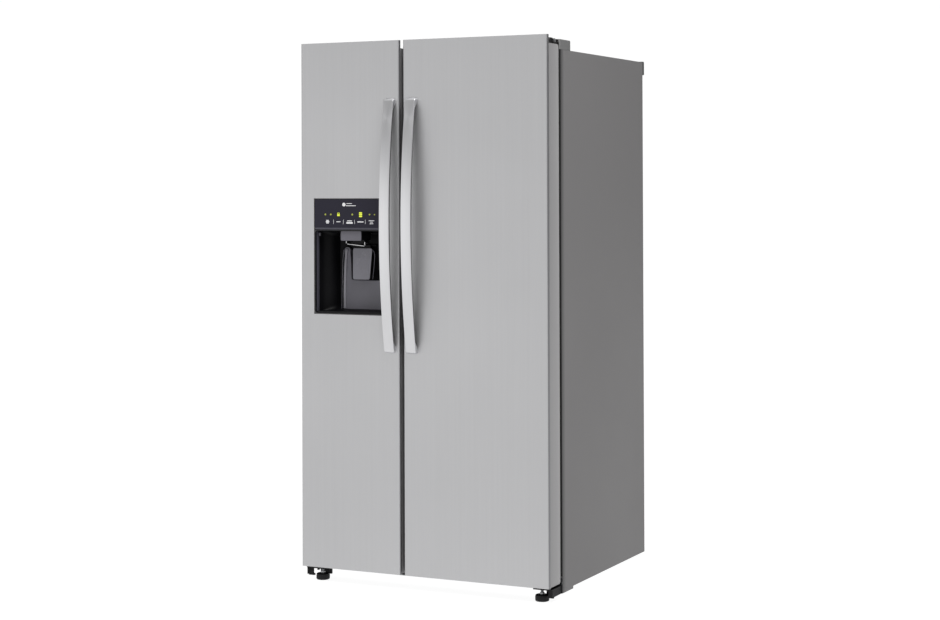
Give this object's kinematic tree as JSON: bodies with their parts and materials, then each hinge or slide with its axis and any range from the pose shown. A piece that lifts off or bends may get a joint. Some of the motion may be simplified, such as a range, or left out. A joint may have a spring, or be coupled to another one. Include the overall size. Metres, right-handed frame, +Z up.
{
  "type": "side by side refrigerator",
  "caption": "Free-standing side by side refrigerator with a freezer door, a fresh-food door, bowed bar handles and an ice and water dispenser.",
  "frame": {"origin": "on the floor, below the middle of the whole object's box", "axes": "+Z up, -Y towards the person who opens the doors, +X to that person's right"},
  "size_m": [0.894, 0.897, 1.779],
  "materials": {
    "stainless": "fine-grained brushed stainless steel, satin",
    "door_grey": "satin grey paint",
    "cabinet_grey": "warm grey paint with a fine texture",
    "cover_grey": "matt moulded plastic",
    "dark_grey": "matt moulded plastic",
    "black_gloss": "glossy black moulding",
    "black_plastic": "matt black moulding",
    "panel": "glossy dark touch panel with lit plain symbols",
    "smoky": "smoky grey translucent moulding",
    "foam": "blown insulation, hidden",
    "white_liner": "vacuum-formed white sheet",
    "gasket": "dark magnetic door seal",
    "clear_bin": "clear moulded bins",
    "shelf_glass": "tempered glass with a moulded rim",
    "black_steel": "black enamel",
    "galvanised": "zinc-coated sheet",
    "white_plastic": "white moulding"
  },
  "bodies": {
    "cabinet": {"side_panel_left": "cabinet_grey", "side_panel_right": "cabinet_grey", "top_panel": "cabinet_grey", "front_frame": "cabinet_grey", "back_panel": "galvanised", "machine_cover": "galvanised", "base_pan": "galvanised", "rear_top_rail": "dark_grey", "toe_grille": "black_plastic", "top_hinge_left": "black_steel", "top_hinge_right": "black_steel", "lower_hinge_left": "black_steel", "lower_hinge_right": "black_steel", "compressor": "black_steel", "condenser": "black_steel", "hinge_cover_left": "cover_grey", "hinge_cover_right": "cover_grey", "cabinet_foam": "foam", "freezer_liner": "white_liner", "fridge_liner": "white_liner", "freezer_shelf": "shelf_glass", "fridge_shelf_upper": "shelf_glass", "fridge_shelf_lower": "shelf_glass", "crisper_cover": "shelf_glass", "ice_bin": "white_plastic", "ice_maker": "white_plastic", "evaporator_cover": "white_plastic"},
    "freezer_door": {"freezer_door_skin": "stainless", "freezer_door_case": "door_grey", "freezer_door_foam": "foam", "freezer_door_liner": "white_liner", "freezer_gasket": "gasket", "freezer_handle": "stainless", "dispenser_housing": "black_gloss", "control_panel": "panel", "ice_chute": "smoky", "freezer_bin_lower": "clear_bin", "freezer_bin_upper": "clear_bin"},
    "fridge_door": {"fridge_door_skin": "stainless", "fridge_door_case": "door_grey", "fridge_door_foam": "foam", "fridge_door_liner": "white_liner", "fridge_gasket": "gasket", "fridge_handle": "stainless", "bottle_bin": "clear_bin", "dairy_bin": "clear_bin"},
    "lever": {"dispenser_lever": "smoky"},
    "flap": {"chute_flap": "black_plastic"},
    "dairy_cover": {"dairy_lid": "clear_bin"},
    "freezer_drawer_low": {"freezer_drawer_lower": "clear_bin"},
    "freezer_drawer_high": {"freezer_drawer_upper": "clear_bin"},
    "crisper_low": {"crisper_lower": "clear_bin"},
    "crisper_high": {"crisper_upper": "clear_bin"},
    "condenser_blower": {"condenser_fan": "black_plastic"},
    "evaporator_blower": {"evaporator_fan": "white_plastic"},
    "auger": {"ice_auger": "galvanised"},
    "left_foot": {"foot_left": "black_plastic"},
    "right_foot": {"foot_right": "black_plastic"},
    "left_roller": {"rear_roller_left": "black_plastic"},
    "right_roller": {"rear_roller_right": "black_plastic"}
  },
  "joints": [
    {"name": "freezer_door_hinge", "type": "hinge", "parent": "cabinet", "child": "freezer_door", "pos_m": [-0.427, -0.3435, 0.9], "axis": [0, 0, -1], "range_deg": [0, 120]},
    {"name": "fridge_door_hinge", "type": "hinge", "parent": "cabinet", "child": "fridge_door", "pos_m": [0.427, -0.3435, 0.9], "axis": [0, 0, 1], "range_deg": [0, 120]},
    {"name": "dispenser_lever_pivot", "type": "hinge", "parent": "freezer_door", "child": "lever", "pos_m": [-0.262, -0.3005, 1.11], "axis": [1, 0, 0], "range_deg": [0, 12], "stiffness_Nm_per_rad": 0.08},
    {"name": "chute_flap_pivot", "type": "hinge", "parent": "freezer_door", "child": "flap", "pos_m": [-0.262, -0.334, 1.1325], "axis": [1, 0, 0], "range_deg": [0, 61]},
    {"name": "dairy_lid_pivot", "type": "hinge", "parent": "fridge_door", "child": "dairy_cover", "pos_m": [0.184, -0.301, 1.526], "axis": [1, 0, 0], "range_deg": [0, 80]},
    {"name": "freezer_drawer_low_slide", "type": "slide", "parent": "cabinet", "child": "freezer_drawer_low", "axis": [0, -1, 0], "range_m": [0, 0.25]},
    {"name": "freezer_drawer_high_slide", "type": "slide", "parent": "cabinet", "child": "freezer_drawer_high", "axis": [0, -1, 0], "range_m": [0, 0.25]},
    {"name": "crisper_low_slide", "type": "slide", "parent": "cabinet", "child": "crisper_low", "axis": [0, -1, 0], "range_m": [0, 0.25]},
    {"name": "crisper_high_slide", "type": "slide", "parent": "cabinet", "child": "crisper_high", "axis": [0, -1, 0], "range_m": [0, 0.25]},
    {"name": "condenser_fan_spin", "type": "hinge", "parent": "cabinet", "child": "condenser_blower", "pos_m": [-0.06, 0.3265, 0.125], "axis": [1, 0, 0], "continuous": true},
    {"name": "evaporator_fan_spin", "type": "hinge", "parent": "cabinet", "child": "evaporator_blower", "pos_m": [-0.241, 0.3235, 1.18], "axis": [0, 1, 0], "continuous": true},
    {"name": "auger_spin", "type": "hinge", "parent": "cabinet", "child": "auger", "pos_m": [-0.262, -0.2365, 1.384], "axis": [0, 1, 0], "continuous": true},
    {"name": "foot_left_screw", "type": "hinge", "parent": "cabinet", "child": "left_foot", "pos_m": [-0.398, -0.3435, 0], "axis": [0, 0, 1], "continuous": true},
    {"name": "foot_right_screw", "type": "hinge", "parent": "cabinet", "child": "right_foot", "pos_m": [0.398, -0.3435, 0], "axis": [0, 0, 1], "continuous": true},
    {"name": "roller_left_spin", "type": "hinge", "parent": "cabinet", "child": "left_roller", "pos_m": [-0.36, 0.3615, 0.02], "axis": [1, 0, 0], "continuous": true},
    {"name": "roller_right_spin", "type": "hinge", "parent": "cabinet", "child": "right_roller", "pos_m": [0.36, 0.3615, 0.02], "axis": [1, 0, 0], "continuous": true}
  ],
  "couplings": [
    {"joint": "chute_flap_pivot", "follows": "dispenser_lever_pivot", "ratio": 5},
    {"joint": "freezer_drawer_low_slide", "follows": "freezer_door_hinge", "m_per_rad": 0.119},
    {"joint": "freezer_drawer_high_slide", "follows": "freezer_door_hinge", "m_per_rad": 0.119},
    {"joint": "crisper_low_slide", "follows": "fridge_door_hinge", "m_per_rad": 0.119},
    {"joint": "crisper_high_slide", "follows": "fridge_door_hinge", "m_per_rad": 0.119}
  ]
}
